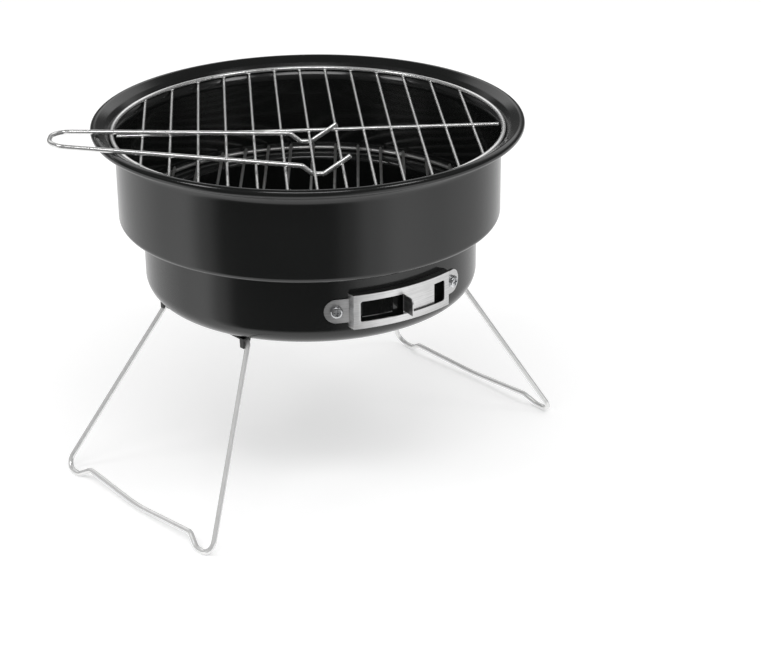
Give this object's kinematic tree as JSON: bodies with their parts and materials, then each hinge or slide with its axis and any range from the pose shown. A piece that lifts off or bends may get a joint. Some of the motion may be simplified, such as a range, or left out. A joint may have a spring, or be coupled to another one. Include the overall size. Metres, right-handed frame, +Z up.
{
  "type": "portable tabletop grill",
  "caption": "Round stepped fire bowl on folding wire legs, with a wire cooking grate, a charcoal grate, a hooked grate lifter and a sliding air vent.",
  "frame": {"origin": "on the ground, under the middle of the fire bowl", "axes": "+Z up, +X from the left leg to the right leg, -Y to the front with the air vent"},
  "size_m": [0.291, 0.26, 0.2237],
  "materials": {
    "black_enamel": "gloss",
    "plated_wire": "gloss",
    "grey_wire": "satin",
    "vent_steel": "satin",
    "zinc_hardware": "satin",
    "bracket_enamel": "satin"
  },
  "bodies": {
    "bowl": {"fire_bowl": "black_enamel", "vent_frame": "vent_steel", "vent_left_screw": "zinc_hardware", "vent_right_screw": "zinc_hardware", "vent_left_nut": "zinc_hardware", "vent_right_nut": "zinc_hardware", "left_front_leg_bracket": "bracket_enamel", "left_rear_leg_bracket": "bracket_enamel", "right_front_leg_bracket": "bracket_enamel", "right_rear_leg_bracket": "bracket_enamel", "bracket_rivets": "zinc_hardware"},
    "cooking_grate": {"cooking_grate_ring": "plated_wire", "cooking_grate_wires": "plated_wire", "cooking_grate_crossbar": "plated_wire"},
    "lifter": {"grate_lifter": "plated_wire"},
    "charcoal_grate": {"charcoal_grate_ring": "grey_wire", "charcoal_grate_wires": "grey_wire", "charcoal_grate_crossbar": "grey_wire"},
    "shutter": {"vent_slider": "vent_steel"},
    "leg_left": {"left_leg": "plated_wire"},
    "leg_right": {"right_leg": "plated_wire"}
  },
  "joints": [
    {"name": "left_leg_fold", "type": "hinge", "parent": "bowl", "child": "leg_left", "pos_m": [-0.0812, 0, 0.1079], "axis": [0, -1, 0], "range_deg": [0, 119]},
    {"name": "right_leg_fold", "type": "hinge", "parent": "bowl", "child": "leg_right", "pos_m": [0.0812, 0, 0.1079], "axis": [0, 1, 0], "range_deg": [0, 111]},
    {"name": "cooking_grate_lift", "type": "slide", "parent": "bowl", "child": "cooking_grate", "axis": [0, 0, 1], "range_m": [0, 0.09]},
    {"name": "lifter_tilt", "type": "hinge", "parent": "cooking_grate", "child": "lifter", "pos_m": [0, 0, 0.21037], "axis": [0.5976, 0.8018, 0], "range_deg": [0, 7]},
    {"name": "charcoal_grate_lift", "type": "slide", "parent": "bowl", "child": "charcoal_grate", "axis": [0, 0, 1], "range_m": [0, 0.043]},
    {"name": "vent_shutter_slide", "type": "hinge", "parent": "bowl", "child": "shutter", "pos_m": [0, 0, 0.13445], "axis": [0, 0, 1], "range_deg": [-14.2, 4]}
  ]
}
